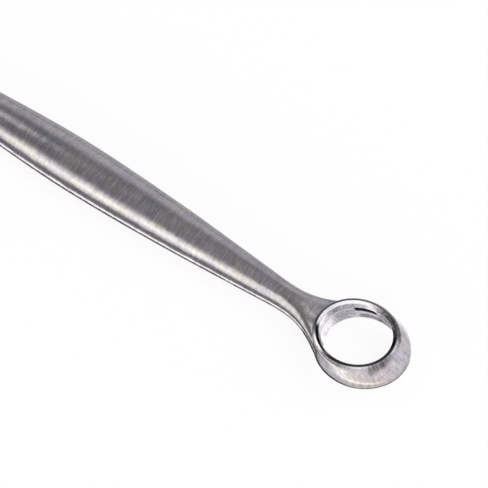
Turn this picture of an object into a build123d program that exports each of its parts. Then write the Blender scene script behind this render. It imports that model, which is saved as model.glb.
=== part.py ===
from build123d import *
import os
from math import copysign, cos, pi, sin

# Dermal curette: one forged and ground steel piece. Its handle swells twice along its length, thins
# to a neck and ends in an open ring with a sharp upper rim. Millimetres, +X from the rear of the
# handle to the ring's tip, +Z up through the ring.

# Overall
TOTAL_LENGTH = 145.0

# Ring. Each level is a circle: its depth below the cutting edge, its radius, and how far its
# centre stands forward of the edge's own centre. The ring leans forward as it goes down.
EDGE_RADIUS = 4.0           # the sharp circle that cuts, an 8 mm curette
EDGE_ABOVE_AXIS = 1.30      # height of the cutting edge over the handle's axis
HONED_FOOT = (0.07, 4.20, 0.0)      # where the honed bevel outside the edge meets the wall
WALL_BULGE = [
    (0.60, 4.60, 0.48),
    (1.08, 4.83, 0.84),
    (1.58, 4.90, 0.97),
    (1.92, 4.80, 0.98),
    (2.14, 4.60, 0.96),
]
UNDERSIDE = (2.26, 4.36, 0.95)      # outer edge of the narrow flat under the ring
RELIEF_FOOT = (0.14, 3.70, 0.03)    # where the relief bevel inside the edge meets the bore
BORE_END = (1.82, 3.84, 0.97)       # where the bore meets its flared mouth
MOUTH = (2.26, 4.20, 1.00)          # the flared mouth on the underside

# Tool mark that runs round inside the bore, where two cutters met
MARK_DEPTH = 0.70
MARK_WIDTH = 0.13
MARK_CUT = 0.06

# Rear of the handle, turned round: distance behind the ring's edge circle, and radius
WAIST_AT, WAIST_RADIUS = 62.3, 1.70
SHANK_START_AT, SHANK_RADIUS = 104.0, 2.45      # from here back it is a plain cylinder
STEEPEST_PART = 0.50        # where the curve turns, as a part of the way from waist to shank
END_ROUNDING = 6.0          # length of the rounded rear end

# Front of the handle and the web that spreads it into the ring. Each section across it has its
# distance behind the edge circle, half width, half height, height of its middle over the axis, and
# squareness: 2 is a circle or an ellipse, and more is squarer. The grip is wider than it is high, so
# the handle doesn't roll, and it is as high as the shank, so the handle lies level.
FRONT = [
    (WAIST_AT, WAIST_RADIUS, WAIST_RADIUS, 0.0, 2.0),
    (59.5, 1.72, 1.70, 0.0, 2.0),
    (52.3, 1.95, 1.79, 0.0, 2.0),
    (42.3, 2.55, 2.23, 0.0, 2.0),
    (35.4, 2.80, SHANK_RADIUS, 0.0, 2.0),
    (28.0, 2.665, 2.33, 0.0, 2.0),
    (21.0, 2.33, 2.08, 0.0, 2.0),
    (14.6, 1.87, 1.775, 0.0, 2.0),
    (10.4, 1.555, 1.555, 0.0, 2.0),
    (8.3, 1.445, 1.445, 0.0, 2.0),
    (7.25, 1.51, 1.42, 0.0, 2.0),
    (6.2, 1.70, 1.33, 0.02, 2.1),
    (5.2, 2.05, 1.19, 0.04, 2.3),
    (4.2, 2.54, 1.04, 0.07, 2.7),
    (3.2, 3.12, 0.98, 0.09, 3.2),
    (2.3, 3.69, 0.95, 0.10, 3.6),
    (1.5, 4.06, 0.93, 0.10, 3.6),
]
SECTION_POINTS = 24

OVERSHOOT = 0.6             # how far the bore's cutter runs past the ring


def ring_circle(depth, radius, forward):
    """One level of the ring, a circle that lies flat at its depth below the cutting edge."""
    return Pos(forward, 0, EDGE_ABOVE_AXIS - depth) * Circle(radius)


def ring_body():
    """Outer form of the ring: the bulged wall, closed above by the cone of the honed bevel."""
    wall = loft([ring_circle(*level) for level in (HONED_FOOT, *WALL_BULGE, UNDERSIDE)])
    bevel = loft([ring_circle(*HONED_FOOT), ring_circle(0, EDGE_RADIUS, 0)], ruled=True)
    return wall + bevel


def between(upper, lower, depth, wider=0.0):
    """Level of the ring at a depth, on the straight cone from one level to another."""
    part_way = (depth - upper[0]) / (lower[0] - upper[0])
    radius = upper[1] + part_way * (lower[1] - upper[1])
    forward = upper[2] + part_way * (lower[2] - upper[2])
    return depth, radius + wider, forward


def bore_cutter():
    """Everything that is open inside the ring, from above the edge to below the underside."""
    edge = (0, EDGE_RADIUS, 0)
    levels = [
        between(edge, RELIEF_FOOT, -OVERSHOOT),
        RELIEF_FOOT,
        between(RELIEF_FOOT, BORE_END, MARK_DEPTH),
        between(RELIEF_FOOT, BORE_END, MARK_DEPTH + MARK_WIDTH / 2, MARK_CUT),
        between(RELIEF_FOOT, BORE_END, MARK_DEPTH + MARK_WIDTH),
        BORE_END,
        between(BORE_END, MOUTH, UNDERSIDE[0] + OVERSHOOT),
    ]
    return loft([ring_circle(*level) for level in levels], ruled=True)


def rear_body(rear):
    """Turned part of the handle, from its rounded rear end to the waist."""
    waist = (-WAIST_AT, WAIST_RADIUS)
    shank_start = (-SHANK_START_AT, SHANK_RADIUS)
    shank_end = (rear + END_ROUNDING, SHANK_RADIUS)
    turn = tuple(a + STEEPEST_PART * (b - a) for a, b in zip(waist, shank_start))
    outline = [
        EllipticalCenterArc(
            (shank_end[0], 0), END_ROUNDING, SHANK_RADIUS, start_angle=90, arc_size=90
        ),
        Line(shank_end, shank_start),
        TangentArc(shank_start, turn, tangent=(1, 0)),
        TangentArc(waist, turn, tangent=(-1, 0)),
        Line(waist, (waist[0], 0)),
        Line((waist[0], 0), (rear, 0)),
    ]
    return revolve(make_face(outline), Axis.X)


def squared_oval(half_width, half_height, squareness):
    """Closed outline with the ellipse's formula, but with a higher power than two."""
    power = 2 / squareness
    points = []
    for step in range(SECTION_POINTS):
        turn = 2 * pi * step / SECTION_POINTS
        across = copysign(abs(cos(turn)) ** power, cos(turn))
        up = copysign(abs(sin(turn)) ** power, sin(turn))
        points.append((half_width * across, half_height * up))
    return Face(Wire(Spline(*points, periodic=True)))


def across_handle(at, half_width, half_height, middle, squareness):
    """Section across the handle or the web, at its distance behind the ring's edge circle."""
    place = Plane(origin=(-at, 0, middle), x_dir=(0, 1, 0), z_dir=(1, 0, 0))
    if squareness > 2:
        return place * squared_oval(half_width, half_height, squareness)
    if half_width > half_height:
        return place * Ellipse(half_width, half_height)
    return place * Circle(half_width)


def front_body():
    """One smooth form from the waist over the grip and neck to a squared oval inside the ring."""
    return loft([across_handle(*row) for row in FRONT])


def curette():
    """The whole piece, lying on the floor with its two swells and centred on the origin."""
    tip = max(radius + forward for depth, radius, forward in WALL_BULGE)
    rear = tip - TOTAL_LENGTH
    solid = rear_body(rear) + front_body() + ring_body() - bore_cutter()
    box = solid.bounding_box()
    middle = (box.min.X + box.max.X) / 2
    return Pos(-middle, 0, -box.min.Z) * solid


os.makedirs("parts", exist_ok=True)
part = curette()
part.label = "curette"
export_step(part, "parts/curette.step")
box = part.bounding_box()
print("solids", len(part.solids()), "faces", len(part.faces()), "valid", part.is_valid)
print("volume mm3", round(part.volume, 1))
print("box", [round(v, 3) for v in (*box.min, *box.max)])
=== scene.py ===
# %% [markdown]
# # A dermal curette in satin steel
# A curette is one forged and ground piece of stainless steel: a slim handle that swells under the
# fingers, a neck, and an open ring whose upper rim is ground sharp. This lesson dresses the finished
# form in Blender. The form itself comes from the construction model, in metres, and stays as it is.
# What is left to make is light and surface: on bare metal almost all that the eye sees is reflection.

# %% Load the construction model
from math import cos, pi, radians, sin

import bpy
from mathutils import Matrix, Vector


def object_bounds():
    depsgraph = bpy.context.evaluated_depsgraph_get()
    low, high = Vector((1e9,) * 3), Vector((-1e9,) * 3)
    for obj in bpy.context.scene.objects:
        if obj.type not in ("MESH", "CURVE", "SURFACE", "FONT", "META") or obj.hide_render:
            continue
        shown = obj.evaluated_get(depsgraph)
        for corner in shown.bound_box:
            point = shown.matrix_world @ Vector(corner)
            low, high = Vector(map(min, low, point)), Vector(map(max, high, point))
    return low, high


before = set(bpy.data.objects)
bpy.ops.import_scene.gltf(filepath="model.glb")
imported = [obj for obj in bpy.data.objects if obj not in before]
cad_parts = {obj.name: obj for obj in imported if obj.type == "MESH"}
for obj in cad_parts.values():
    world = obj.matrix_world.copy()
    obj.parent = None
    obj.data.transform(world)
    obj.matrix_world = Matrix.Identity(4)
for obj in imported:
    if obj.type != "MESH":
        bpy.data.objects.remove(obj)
cad_low, cad_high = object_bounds()
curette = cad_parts["curette"]
print("curette:", len(curette.data.polygons), "faces, box in mm",
      [round(v * 1000, 2) for v in (*cad_low, *cad_high)])

# %% [markdown]
# ## Where things are
# Every place in this file is worked out from the box of the piece and a few real sizes. The ring's
# cutting edge is a level circle of 8 mm. Its centre lies a little behind the tip of the bulged wall,
# and it stands a little higher than the middle of the handle.

# %% Key places on the instrument
MM = 0.001
EDGE_RADIUS = 4.0 * MM
EDGE_BEHIND_TIP = 5.87 * MM
EDGE_OVER_AXIS = 1.30 * MM
NECK_BEHIND_EDGE = 8.3 * MM

axis_height = (cad_low.z + cad_high.z) / 2
edge_centre = Vector((cad_high.x - EDGE_BEHIND_TIP, 0, axis_height + EDGE_OVER_AXIS))
neck_x = edge_centre.x - NECK_BEHIND_EDGE
print("handle axis %.3f mm over the floor" % (axis_height / MM))
print("edge centre at x %.2f, z %.2f mm" % (edge_centre.x / MM, edge_centre.z / MM))

# %% [markdown]
# ## Camera
# The picture looks down on the ring from the tip's side, with a long lens and the camera rolled a
# little. It could be aimed by eye, but a fitted view can be checked against real sizes, so it is
# given as angles, a distance and the place where the edge's centre falls in a frame of 488 pixels.
# The camera is turned to put it there, and not shifted, so that the lens stays centred.

# %% Aim the camera
FRAME_PIXELS = 488
AZIMUTH, ELEVATION, ROLL = radians(27.49), radians(53.90), radians(9.30)
DISTANCE = 400 * MM
FOCAL_PIXELS = 4060
SENSOR_WIDTH = 36
EDGE_CENTRE_PIXEL = (355.7, 332.9)

looking = (Matrix.Rotation(AZIMUTH, 3, "Z")
           @ Matrix.Rotation(pi / 2 - ELEVATION, 3, "X")
           @ Matrix.Rotation(ROLL, 3, "Z"))
ray = Vector((EDGE_CENTRE_PIXEL[0] - FRAME_PIXELS / 2,
              FRAME_PIXELS / 2 - EDGE_CENTRE_PIXEL[1],
              -FOCAL_PIXELS))
turned = looking @ ray.rotation_difference(Vector((0, 0, -1))).to_matrix()

camera_data = bpy.data.cameras.new("camera")
camera_data.sensor_width = SENSOR_WIDTH
camera_data.lens = SENSOR_WIDTH * FOCAL_PIXELS / FRAME_PIXELS
camera_data.clip_start = DISTANCE / 10
camera_data.clip_end = DISTANCE * 20
camera = bpy.data.objects.new("camera", camera_data)
bpy.context.scene.collection.objects.link(camera)
camera.location = edge_centre + looking @ Vector((0, 0, DISTANCE))
camera.rotation_euler = turned.to_euler()
bpy.context.scene.camera = camera
print("lens %.1f mm, camera at" % camera_data.lens, [round(v, 4) for v in camera.location])

# %% [markdown]
# ## Shader maths as expressions
# A material is a graph of nodes, and a graph is hard to read as a list of links. This small class
# wraps a socket, so that an expression such as 1 - mask adds the Math node that it needs. Any other
# node comes from one method, which takes the node's type, its settings and its sockets.

# %% A socket that can be calculated with
class Wire:
    """One output socket of a node tree, with arithmetic that adds Math nodes."""

    def __init__(self, tree, socket):
        self.tree = tree
        self.socket = socket

    def node(self, kind, settings=None, inputs=None, output=0):
        """A new node of a type. Settings are set first, then sockets get values or links."""
        made = self.tree.nodes.new(kind)
        for name, value in (settings or {}).items():
            setattr(made, name, value)
        for name, value in (inputs or {}).items():
            if isinstance(value, Wire):
                self.tree.links.new(value.socket, made.inputs[name])
            else:
                made.inputs[name].default_value = value
        return Wire(self.tree, made.outputs[output] if made.outputs else None)

    def math(self, operation, *values):
        settings = {"operation": operation}
        return self.node("ShaderNodeMath", settings, dict(enumerate(values)))

    def __add__(self, other):
        return self.math("ADD", self, other)

    def __radd__(self, other):
        return self.math("ADD", other, self)

    def __sub__(self, other):
        return self.math("SUBTRACT", self, other)

    def __rsub__(self, other):
        return self.math("SUBTRACT", other, self)

    def __mul__(self, other):
        return self.math("MULTIPLY", self, other)

    def __rmul__(self, other):
        return self.math("MULTIPLY", other, self)

    def __truediv__(self, other):
        return self.math("DIVIDE", self, other)

    def __rtruediv__(self, other):
        return self.math("DIVIDE", other, self)

    def smooth_step(self, low, high):
        """0 below low, 1 above high, and a soft curve between them. low may be above high."""
        settings = {"interpolation_type": "SMOOTHSTEP"}
        ends = {"Value": self, "From Min": low, "From Max": high, "To Min": 0.0, "To Max": 1.0}
        if low > high:
            ends.update({"From Min": high, "From Max": low, "To Min": 1.0, "To Max": 0.0})
        return self.node("ShaderNodeMapRange", settings, ends)

    def vector_math(self, operation, other, output=0):
        settings = {"operation": operation}
        second = "Scale" if operation == "SCALE" else 1
        return self.node("ShaderNodeVectorMath", settings, {0: self, second: other}, output)

    def parts(self):
        """The x, y and z of a vector."""
        split = self.node("ShaderNodeSeparateXYZ", None, {0: self})
        return [Wire(self.tree, out) for out in split.socket.node.outputs]


def empty_tree(owner):
    """The owner's node tree with nothing in it, and a wire to start expressions from."""
    owner.use_nodes = True
    tree = owner.node_tree
    tree.nodes.clear()
    return tree, Wire(tree, None)

print("sockets add, subtract, multiply, divide and step softly")

# %% [markdown]
# ## Studio
# Bare metal has no look of its own. It shows what stands round it, so a photographer of instruments
# builds a tent of pale cards and black flags. Here the world is that tent: its brightness depends
# only on the direction in which a reflection leaves. The handle is a long rounded bar, so its cards
# are strips that lie along it, given by their turn about the bar: 0 degrees is level with the table
# in front, 90 is straight up and 180 is level behind. A large soft card stands past the ring, and
# past the handle's rear end the room is somewhat darker.

# %% World of soft cards
world = bpy.data.worlds.new("soft studio")
bpy.context.scene.world = world
tree, start = empty_tree(world)

direction = start.node("ShaderNodeTexCoord", None, None, "Generated")
east, north, up = direction.parts()
turn = start.math("ARCTAN2", up, north * -1.0) * (180 / pi)


def strip(low, high, soft_low, soft_high, strength):
    """A long card along the handle, between two turns about it in degrees, with soft sides."""
    rise = turn.smooth_step(low - soft_low, low + soft_low)
    fall = turn.smooth_step(high + soft_high, high - soft_high)
    return rise * fall * strength


def round_card(toward, inner, outer):
    """1 within a cone round one direction and 0 outside it, with its two half angles in degrees."""
    nearness = direction.vector_math("DOT_PRODUCT", Vector(toward).normalized(), "Value")
    return nearness.smooth_step(cos(radians(outer)), cos(radians(inner)))


ROOM = 0.20                 # what the dark room gives back everywhere
DARK_END_EAST = -0.45       # the room is darker west of this, past the handle's rear end
DARK_END_SOFT = 0.08
DARK_END_LIGHT = 0.75       # the share of its light that the dark end keeps
ROOF_TINT = (0.95, 0.93, 1.0, 1)
CARD_TINT = (1.0, 0.97, 0.92, 1)

front_card = strip(-30, 28, 8, 22, 1.5)
back_wall = strip(133, 172, 14, 6, 0.37)
end_card = east.smooth_step(-0.20, 0.10) * up.smooth_step(-0.30, -0.05) * 0.92
back_flag = 1 - round_card((0.12, 0.87, 0.46), 8, 20) * 0.92
rear_lamp = round_card((-0.62, 0.02, 0.78), 6, 14) * 1.2
past_end = east.smooth_step(DARK_END_EAST - DARK_END_SOFT, DARK_END_EAST + DARK_END_SOFT)
open_side = past_end * (1 - DARK_END_LIGHT) + DARK_END_LIGHT
cards = (front_card + back_wall + ROOM) * open_side
radiance = start.math("MAXIMUM", cards, end_card) * back_flag + rear_lamp
warmth = turn.smooth_step(55, 18) * turn.smooth_step(-60, -20)
tint_inputs = {"Factor": warmth, "A": ROOF_TINT, "B": CARD_TINT}
tint = start.node("ShaderNodeMix", {"data_type": "RGBA"}, tint_inputs, "Result")
print("strip cards set")

# %% [markdown]
# The camera itself sees plain white where it looks past the floor.

# %% World output
camera_ray = start.node("ShaderNodeLightPath", None, None, "Is Camera Ray")
lit = start.node("ShaderNodeBackground", None, {"Color": tint, "Strength": radiance})
white = start.node("ShaderNodeBackground", None, {"Color": (1, 1, 1, 1), "Strength": 1.0})
shown = start.node("ShaderNodeMixShader", None, {0: camera_ray, 1: lit, 2: white})
start.node("ShaderNodeOutputWorld", None, {"Surface": shown})
print("world has", len(tree.nodes), "nodes")

# %% [markdown]
# ## Floor
# The floor is a sheet of white paper. The camera sees it almost evenly white, with only a faint
# shadow, as in a catalogue picture. The steel sees it too, as a pale sheet with the real contact
# shadow; black strips laid under the handle add painted shadow there, and together they draw the thin
# dark line along the lower edge of the handle.

# %% Pale floor
FLOOR_HALF = 600 * MM
PAPER = (0.8, 0.8, 0.8, 1)
PAPER_FOR_CAMERA = (0.25, 0.25, 0.25, 1)
GLOW_FOR_CAMERA = 0.85
GLOW_FOR_STEEL = 0.25

floor_mesh = bpy.data.meshes.new("floor")
corners = [(x * FLOOR_HALF, y * FLOOR_HALF, 0) for x, y in ((-1, -1), (1, -1), (1, 1), (-1, 1))]
floor_mesh.from_pydata(corners, [], [(0, 1, 2, 3)])
floor = bpy.data.objects.new("floor", floor_mesh)
bpy.context.scene.collection.objects.link(floor)

paper = bpy.data.materials.new("white paper")
tree, start = empty_tree(paper)
camera_ray = start.node("ShaderNodeLightPath", None, None, "Is Camera Ray")
glossy_ray = start.node("ShaderNodeLightPath", None, None, "Is Glossy Ray")
clear_ray = start.node("ShaderNodeLightPath", None, None, "Is Transmission Ray")
matt = start.node("ShaderNodeBsdfDiffuse", None, {"Color": PAPER})
lift_strength = (glossy_ray + clear_ray) * GLOW_FOR_STEEL
lift = start.node("ShaderNodeEmission", None, {"Color": (1, 1, 1, 1), "Strength": lift_strength})
in_steel = start.node("ShaderNodeAddShader", None, {0: matt, 1: lift})
faint = start.node("ShaderNodeBsdfDiffuse", None, {"Color": PAPER_FOR_CAMERA})
glow = start.node("ShaderNodeEmission", None, {"Color": (1, 1, 1, 1), "Strength": GLOW_FOR_CAMERA})
in_camera = start.node("ShaderNodeAddShader", None, {0: faint, 1: glow})
both = start.node("ShaderNodeMixShader", None, {0: camera_ray, 1: in_steel, 2: in_camera})
start.node("ShaderNodeOutputMaterial", None, {"Surface": both})
floor_mesh.materials.append(paper)
print("floor is", round(2 * FLOOR_HALF, 2), "m wide")

# %% [markdown]
# ## Striped card
# The handle's lower side shows a broad cream highlight, a grey line, a white line and a thin black
# edge. That is a striped card on the table, mirrored in a rounded bar: black right under the bar,
# which is a painted contact shadow, then white, then dark, then grey, then white again. Behind the
# bar a black strip and a broad grey one keep its far edge dark, and a wider black strip under the web
# is a painted contact shadow too. The strips follow the handle's side, and only reflections see them,
# so the camera's paper stays clean.

# %% Strips beside the handle
STRIP_STEP = 2 * MM
half_width_at = {}
for vertex in curette.data.vertices:
    station = round(vertex.co.x / STRIP_STEP)
    half_width_at[station] = max(half_width_at.get(station, 0), abs(vertex.co.y))
web_end_x = edge_centre.x - 2.5 * MM
stations = [s for s in sorted(half_width_at) if s * STRIP_STEP < neck_x + 2 * STRIP_STEP]
web_stations = [s for s in sorted(half_width_at) if neck_x < s * STRIP_STEP < web_end_x]


def card_material(name, colour, glow):
    """A card that gives back some light, and shines a little if it stands for a lit one."""
    card = bpy.data.materials.new(name)
    tree, start = empty_tree(card)
    matt = start.node("ShaderNodeBsdfDiffuse", None, {"Color": colour})
    light = start.node("ShaderNodeEmission", None, {"Color": colour, "Strength": glow})
    both = start.node("ShaderNodeAddShader", None, {0: matt, 1: light})
    start.node("ShaderNodeOutputMaterial", None, {"Surface": both})
    return card


def stage_sheet(name, points, faces, material):
    """A flat card that only reflections see."""
    mesh = bpy.data.meshes.new(name)
    mesh.from_pydata(points, [], faces)
    mesh.materials.append(material)
    sheet = bpy.data.objects.new(name, mesh)
    bpy.context.scene.collection.objects.link(sheet)
    sheet.visible_camera = False
    sheet.visible_diffuse = False
    sheet.visible_shadow = False


def lay_strip(name, near, far, lift, material, along_stations=None):
    """A flat strip along the handle. near and far are measured from its side, and front is minus."""
    points = []
    for station in along_stations or stations:
        side = half_width_at[station] * (-1 if far < 0 else 1)
        for distance in (near, far):
            points.append((station * STRIP_STEP, side + distance * MM, lift * MM))
    faces = [(i, i + 1, i + 3, i + 2) for i in range(0, len(points) - 2, 2)]
    stage_sheet(name, points, faces, material)


black_card = card_material("black card", (0.015, 0.015, 0.015, 1), 0.0)
white_card = card_material("white card", (0.95, 0.93, 0.90, 1), 0.75)
bright_card = card_material("bright card", (0.97, 0.96, 0.95, 1), 1.3)
grey_card = card_material("grey card", (0.50, 0.50, 0.52, 1), 0.35)
dark_card = card_material("dark card", (0.20, 0.20, 0.21, 1), 0.25)
# The black strip right under the handle and the one under the web are painted contact shadows.
lay_strip("painted shadow under handle", 0.5, -0.55, 0.02, black_card)
lay_strip("near card", -0.55, -1.65, 0.04, bright_card)
lay_strip("dark line card", -1.65, -8.0, 0.06, dark_card)
lay_strip("front grey card", -8.0, -15, 0.04, grey_card)
lay_strip("front table card", -15, -40, 0.04, white_card)
lay_strip("back flag", 0.3, 2.6, 0.04, black_card)
lay_strip("back grey card", 2.6, 60, 0.06, grey_card)
lay_strip("painted shadow under web", 0.8, -1.3, 0.08, black_card, web_stations)
print("strips laid along", len(stations), "stations")

# %% [markdown]
# Under the ring lies a black sheet shaped as a part of a washer: a painted contact shadow that only
# reflections see. The ring's lower side mirrors it, and that draws the thin dark outline which keeps
# the ring from melting into the white paper. The sheet's width changes round the ring, because the
# outline is stronger at some places than at others.

# %% Painted shadow sheet under the ring
SHADOW_RING_SHIFT = 0.9 * MM
SHADOW_RING_INNER = 3.6 * MM
SHADOW_RING_LIFT = 0.05 * MM
SHADOW_RING_STEP = 5             # degrees
SHADOW_RING_OUTER = {            # outer radius in millimetres, by the turn round the ring in degrees
    185: 5.2, 200: 6.1, 225: 6.5, 250: 6.6, 265: 6.4, 280: 5.9,
    300: 5.3, 330: 5.6, 345: 6.3, 375: 6.5, 395: 6.3,
}


def between_turns(table, degrees):
    """A value from a table of turns, straight from one entry to the next."""
    turns = sorted(table)
    low = max(t for t in turns if t <= degrees)
    high = min(t for t in turns if t >= degrees)
    share = (degrees - low) / (high - low) if high > low else 0
    return table[low] + share * (table[high] - table[low])


shadow_ring_points = []
for degrees in range(min(SHADOW_RING_OUTER), max(SHADOW_RING_OUTER) + 1, SHADOW_RING_STEP):
    for ring_radius in (SHADOW_RING_INNER, between_turns(SHADOW_RING_OUTER, degrees) * MM):
        x = edge_centre.x + SHADOW_RING_SHIFT + ring_radius * cos(radians(degrees))
        shadow_ring_points.append((x, ring_radius * sin(radians(degrees)), SHADOW_RING_LIFT))
shadow_ring_faces = [(i, i + 1, i + 3, i + 2) for i in range(0, len(shadow_ring_points) - 2, 2)]
# A black sheet that only reflections see: a painted contact shadow under the ring.
stage_sheet("painted_shadow_ring", shadow_ring_points, shadow_ring_faces, black_card)
print("washer has", len(shadow_ring_faces), "faces")

# %% [markdown]
# The near half of the bore can't be seen, and the far half mirrors the table behind and below the
# ring. Two bright cards lie there, so the bore's left part comes out almost white, and its right
# part keeps the darker table under the ring. A third card hangs over the ring and whitens the far
# part of the bevel inside the edge. A fourth stands in front of the neck, low, and lights the side of
# the ring that faces it, where the dark room would show.

# %% Bright cards behind the ring
def lay_card(name, low, high, lift):
    """A bright card between two corners, in millimetres forward of the ring's centre and across."""
    corners = [(low[0], low[1]), (high[0], low[1]), (high[0], high[1]), (low[0], high[1])]
    points = [(edge_centre.x + x * MM, y * MM, lift * MM) for x, y in corners]
    stage_sheet(name, points, [(0, 1, 2, 3)], white_card)


lay_card("card behind", (-0.6, 3.0), (6.5, 14), 0.03)
lay_card("card inside", (-4.6, -1.6), (-0.5, 3.0), 0.03)
lay_card("card above", (-7.5, -3.5), (4.5, 4.5), 18)
stand_corners = ((-15, 3.5), (-3, 3.5), (-3, 12), (-15, 12))
stand = [(edge_centre.x + x * MM, -12 * MM, z * MM) for x, z in stand_corners]
stage_sheet("card before the neck", stand, [(0, 1, 2, 3)], white_card)
print("four bright cards placed")

# %% [markdown]
# ## Steel
# The whole piece is one bar of stainless steel, but it has four finishes: a handle brushed round and
# round by a soft wheel, a ring wall ground in crossing strokes, a bore left bright and uneven by the
# reamer, and a rim honed by hand. One material can carry them all if it knows where it is. So the
# first step is a set of masks that come from the place on the piece, in millimetres.

# %% Place on the piece
RING_LEAN = 0.97            # how far the ring's wall has moved forward at its widest level
LEAN_DEPTH = 1.3            # depth below the edge by which it has done so
WALL_THICKENS = 0.12        # how fast the middle of the wall moves outward with depth
WALL_ENDS, HANDLE_STARTS = -3.9, -5.6       # measured forward from the ring's centre

steel = bpy.data.materials.new("satin steel")
tree, start = empty_tree(steel)
place_in_metres = start.node("ShaderNodeTexCoord", None, None, "Object")
place = place_in_metres.vector_math("MULTIPLY", (1 / MM, 1 / MM, 1 / MM))
along, across, height_mm = place.parts()
forward = along - edge_centre.x / MM
depth = edge_centre.z / MM - height_mm
lean = depth.smooth_step(0, LEAN_DEPTH) * RING_LEAN
from_centre = start.node("ShaderNodeCombineXYZ", None, {0: forward - lean, 1: across, 2: 0.0})
radius = from_centre.vector_math("LENGTH", (0, 0, 0), "Value")
outward = from_centre.vector_math("NORMALIZE", (0, 0, 0))

wall_middle = depth * WALL_THICKENS + EDGE_RADIUS / MM
inside = (radius - wall_middle).smooth_step(0.03, -0.03)
on_handle = forward.smooth_step(WALL_ENDS, HANDLE_STARTS) * (1 - inside)
on_wall = (1 - on_handle) * (1 - inside)
rim = depth.smooth_step(0.10, 0.05) * on_wall
print("masks: inside the ring, on the handle, on the wall, on the rim")

# %% [markdown]
# ## Brush marks
# A wheel leaves short scratches, each much longer than wide. Stretched noise gives them: the place is
# multiplied more along one way than along the others before the noise reads it. On the handle the
# scratches run round the bar. On the wall two sets lean against each other and cross. In the bore
# faint scratches run round it, under blotches. The third number of each set only moves it to another
# part of the noise, so that the sets don't repeat each other.

# %% Scratches
def grain(vector, stretch, detail=3.0, rough=0.6):
    """Noise from 0 to 1 in cells of a millimetre, made finer by the stretch along each axis."""
    stretched = vector.vector_math("MULTIPLY", stretch)
    inputs = {"Vector": stretched, "Scale": 1.0, "Detail": detail, "Roughness": rough}
    return stretched.node("ShaderNodeTexNoise", None, inputs)


def swing(noise, contrast):
    """Noise spread about nought: its usual range of 0.3 to 0.7 becomes plus or minus the contrast."""
    return (noise - 0.5) * (contrast / 0.2)


WALL_RADIUS = 4.6           # turns an angle round the ring into millimetres
CROSSING = 0.45             # how far the wall's scratches lean, as a share of their depth

round_marks = grain(place, (4.6, 0.8, 0.8))
fine_marks = grain(place, (11.0, 3.5, 3.5), 2.0)
round_ring = start.math("ARCTAN2", across, forward - lean) * WALL_RADIUS
left_lean = round_ring + depth * CROSSING
right_lean = round_ring - depth * CROSSING
left_way = start.node("ShaderNodeCombineXYZ", None, {0: left_lean, 1: depth, 2: 0.0})
right_way = start.node("ShaderNodeCombineXYZ", None, {0: right_lean, 1: depth, 2: 9.0})
left_marks = grain(left_way, (4.2, 0.9, 1.0))
right_marks = grain(right_way, (4.2, 0.9, 1.0))
wall_marks = (left_marks + right_marks) * 0.5
bore_way = start.node("ShaderNodeCombineXYZ", None, {0: round_ring, 1: depth, 2: 4.0})
bore_marks = grain(bore_way, (0.9, 7.0, 1.0))
blotches = grain(place, (2.2, 2.2, 2.2), 4.0, 0.65)
clouds = grain(place, (0.35, 0.7, 0.7), 2.0)
print("scratches round the handle, across the wall and round the bore, and blotches")

# %% [markdown]
# ## Colour of the steel
# The steel is a warm grey with faintly violet clouds, and the wall has a pink cast near the tip.
# Brush marks and blotches lighten and darken it a little. The bore's right part is darkened as well:
# a painted dark reflection there, as the next step explains.

# %% Steel colour
def blend(factor, low, high):
    """Mix of two colours or wires by a factor."""
    settings = {"data_type": "RGBA"}
    return start.node("ShaderNodeMix", settings, {"Factor": factor, "A": low, "B": high}, "Result")


def facing(way, low, high):
    """From 0 to 1 as the place round the ring turns to face one way from its middle."""
    return outward.vector_math("DOT_PRODUCT", way, "Value").smooth_step(low, high)


WARM_STEEL = (0.66, 0.645, 0.62, 1)
VIOLET_STEEL = (0.60, 0.585, 0.625, 1)
PINK_STEEL = (0.70, 0.63, 0.62, 1)
BORE_STEEL = (0.90, 0.89, 0.93, 1)
HONED_STEEL = (0.90, 0.89, 0.90, 1)

handle_colour = blend(clouds.smooth_step(0.40, 0.60), VIOLET_STEEL, WARM_STEEL)
pink_side = forward.smooth_step(1.0, 5.0) * across.smooth_step(0.5, -2.5)
wall_colour = blend(pink_side, handle_colour, PINK_STEEL)
outer_colour = blend(on_wall, handle_colour, wall_colour)
plain_colour = blend(rim, blend(inside, outer_colour, BORE_STEEL), HONED_STEEL)

# Painted dark reflection: the bore's right part is darkened in its colour.
bore_dark_painted_reflection = facing((0.62, 0.78, 0), 0.58, 0.88)
handle_shade = swing(round_marks, 0.15) + swing(fine_marks, 0.11)
wall_shade = swing(wall_marks, 0.24) + swing(blotches, 0.16) - 0.05
bore_shade = swing(blotches, 0.24) + swing(bore_marks, 0.10) - bore_dark_painted_reflection * 0.80
shade = handle_shade * on_handle + wall_shade * on_wall + bore_shade * inside + 1
clean_colour = plain_colour.vector_math("SCALE", shade)
print("colours set")

# %% [markdown]
# ## Dark lines in the bore, and painted reflections
# In the bore a short black line lies in the groove where two cutters met, with a thin grey line
# further
# round and a brown band below: three darker places in the bore's colour. They may be stains or
# reflections, and one picture can't tell. On the wall a dark patch below the edge is a painted dark
# reflection. The other darks are painted reflections and painted shade in place of what this studio
# doesn't give by itself: the lines on both sides of the sharp edge, the wedge at the left inside the
# ring, the painted shade that dims the groove, and the dark right part of the bore.
# Their places were chosen from the photograph's side. All of them are fixed to the piece, so none
# slides in another view, but they also stay dark there and under other light.

# %% Dark lines in the bore, painted wedge and painted edge reflections
def level(top, foot, soft):
    """1 between two depths below the cutting edge, in millimetres, with soft sides."""
    return depth.smooth_step(top - soft, top + soft) * depth.smooth_step(foot + soft, foot - soft)


# The wedge is a painted dark reflection, down the bore and on the bevel inside the edge.
deep_wedge = level(-0.05, 2.40, 0.10) * facing((-0.72, -0.69, 0), 0.958, 0.982)
wedge_on_bevel = level(-0.05, 0.13, 0.03) * facing((-0.66, -0.75, 0), 0.86, 0.93)
wedge = start.math("MAXIMUM", deep_wedge, wedge_on_bevel) * 0.95
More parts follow.
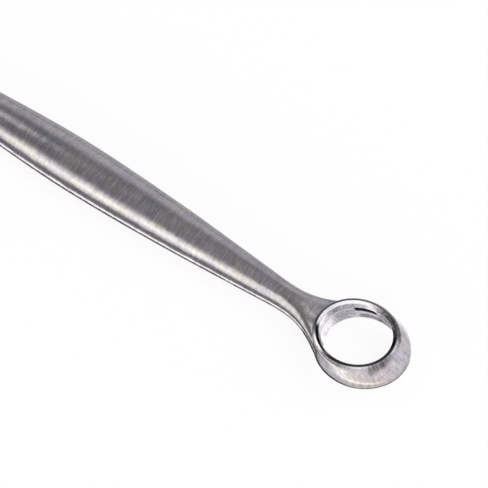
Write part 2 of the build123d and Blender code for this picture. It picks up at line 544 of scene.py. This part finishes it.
# Painted shade that dims the bright line in the groove; the next three are dark places in the bore's
# colour.
groove_painted_shade = level(0.69, 0.84, 0.02) * facing((-0.9, 0.44, 0), 0.30, 0.60) * 0.30
black_mark = level(0.64, 1.02, 0.03) * facing((-0.45, 0.893, 0), 0.952, 0.964) * 0.93
grey_mark = level(0.47, 0.55, 0.03) * facing((-0.995, -0.10, 0), 0.80, 0.92) * 0.5
brown_band = level(1.32, 1.75, 0.12) * facing((-0.35, 0.935, 0), 0.93, 0.97) * 0.55
bore_lines_and_painted_darks = start.math("MAXIMUM", black_mark + grey_mark + brown_band + groove_painted_shade, wedge) * inside
# Painted dark reflections along the far side and the near side of the sharp edge.
far_line = rim * facing((-0.62, 0.78, 0), 0.05, 0.45) * 0.85
near_side = facing((0.80, -0.60, 0), 0.10, 0.55)
line_inside = level(-0.05, 0.20, 0.02) * inside
near_line = start.math("MAXIMUM", level(-0.05, 0.04, 0.012), line_inside) * near_side * 0.93


def spot(x, y, wide, long_way, turn_by):
    """1 in the middle of an oval seen from above, falling softly to 0 at its edge."""
    over = (forward - x) * cos(turn_by) + (across - y) * sin(turn_by)
    off = (across - y) * cos(turn_by) - (forward - x) * sin(turn_by)
    reach = start.node("ShaderNodeCombineXYZ", None, {0: over / long_way, 1: off / wide, 2: 0.0})
    return reach.vector_math("LENGTH", (0, 0, 0), "Value").smooth_step(1.0, 0.35)


# A painted dark reflection on the wall below the edge, broken up by the wall's scratches.
broken_up = wall_marks.smooth_step(0.64, 0.40) * 0.5 + 0.5
wall_painted_reflection = spot(3.95, -1.5, 0.75, 2.2, radians(76)) * (1 - inside) * broken_up
edge_painted_reflections = start.math("MAXIMUM", far_line, near_line)
# All painted reflections and the bore's dark lines, as one factor that darkens the colour.
painted_darks_and_bore_lines = 1 - start.math("MAXIMUM", start.math("MAXIMUM", bore_lines_and_painted_darks, edge_painted_reflections), wall_painted_reflection * 0.82)
print("tool marks, wedge, edge lines and smudge set")

# %% [markdown]
# ## Gloss
# The brushed handle is satin: a highlight spreads, but not far. The wall and the bore are much the
# same, and the rim, which was honed, is smoother. The bump is only a few thousandths of a millimetre
# high, because it stands for scratches that a fingernail can't feel.

# %% Roughness, bump and shader
SCRATCH_DEPTH = 0.006 * MM

roughness = (
    (swing(round_marks, 0.03) + 0.25) * on_handle
    + (swing(wall_marks, 0.04) + 0.24) * on_wall
    + (swing(blotches, 0.05) + 0.24) * inside
    - rim * 0.10
)
relief = round_marks * on_handle + wall_marks * on_wall + blotches * inside
bump_inputs = {"Strength": 1.0, "Distance": SCRATCH_DEPTH, "Height": relief}
bumped = start.node("ShaderNodeBump", None, bump_inputs)
shader = start.node("ShaderNodeBsdfPrincipled", None, {
    "Base Color": clean_colour.vector_math("SCALE", painted_darks_and_bore_lines),
    "Metallic": 1.0,
    "Roughness": roughness,
    "Normal": bumped,
})
start.node("ShaderNodeOutputMaterial", None, {"Surface": shader})
for slot in curette.material_slots:
    slot.material = steel
print("steel has", len(tree.nodes), "nodes")

# %% [markdown]
# ## Colour view
# The Standard view shows colours as they are written, so the white paper stays white.

# %% Look settings
bpy.context.scene.view_settings.view_transform = "Standard"
